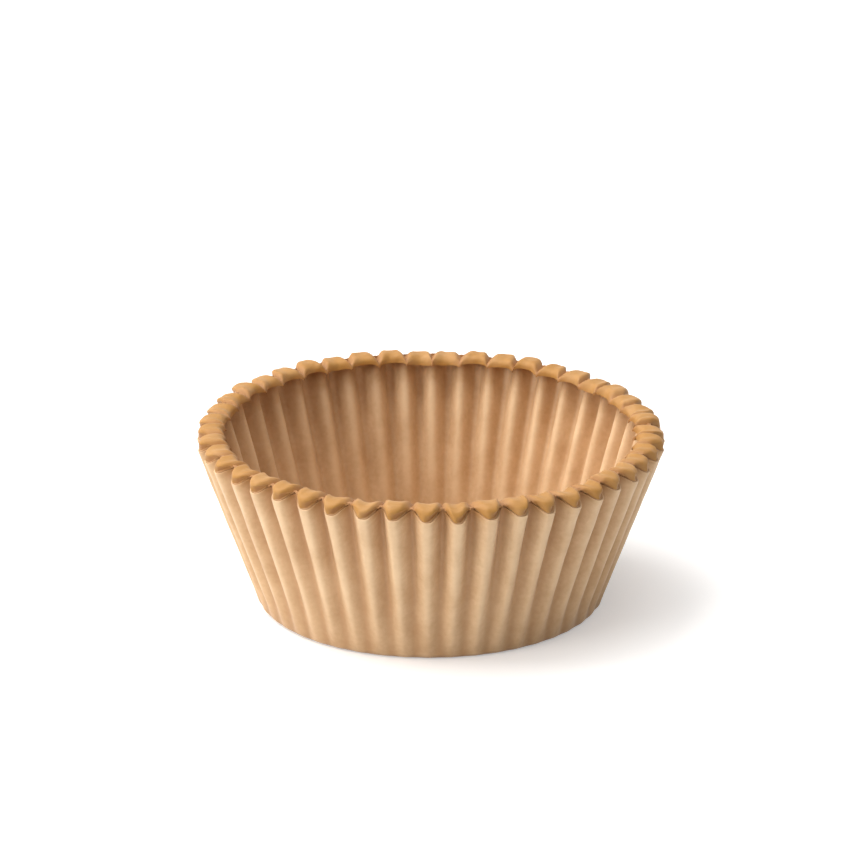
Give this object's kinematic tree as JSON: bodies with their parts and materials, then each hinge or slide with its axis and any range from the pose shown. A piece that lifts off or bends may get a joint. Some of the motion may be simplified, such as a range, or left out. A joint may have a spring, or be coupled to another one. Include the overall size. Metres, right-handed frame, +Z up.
{
  "type": "paper baking cup",
  "caption": "Round fluted paper baking cup with a flat floor, a flared pleated wall and a rim rolled inwards, open at the top.",
  "frame": {"origin": "centre of the underside of the floor, where the cup stands", "axes": "+Z up along the cup's own axis, out of the mouth; -Y is the side that faces the viewer"},
  "size_m": [0.068, 0.0679, 0.0263],
  "materials": {
    "kraft_paper": "matt greaseproof kraft paper with a slight sheen"
  },
  "bodies": {
    "root": {"baking_cup": "kraft_paper"}
  },
  "joints": []
}
